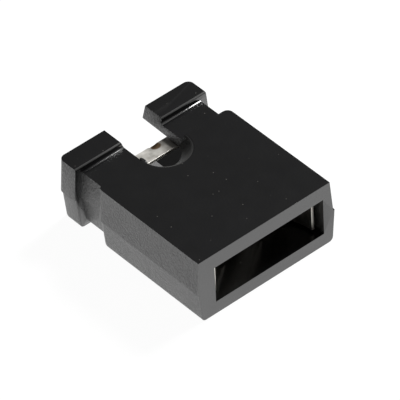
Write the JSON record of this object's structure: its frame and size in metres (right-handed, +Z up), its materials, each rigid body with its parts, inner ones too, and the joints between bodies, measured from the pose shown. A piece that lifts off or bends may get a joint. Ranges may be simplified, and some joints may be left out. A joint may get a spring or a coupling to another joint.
{
  "type": "jumper shunt",
  "caption": "Black moulded jumper shunt with finger ears and an open slot, holding one stamped contact that bridges neighbouring header pins.",
  "frame": {"origin": "under the middle of the whole part's box, on the surface it lies on", "axes": "+X along the pin row, +Y from the mating face to the finger ears, +Z up through the thickness"},
  "size_m": [0.005, 0.006, 0.0022],
  "materials": {
    "moulded_plastic": "moulded, smooth on the mating face and broad faces, finely grained on the side faces",
    "plated_contact": "bright tin plating"
  },
  "bodies": {
    "root": {"housing": "moulded_plastic", "contact": "plated_contact"}
  },
  "joints": []
}
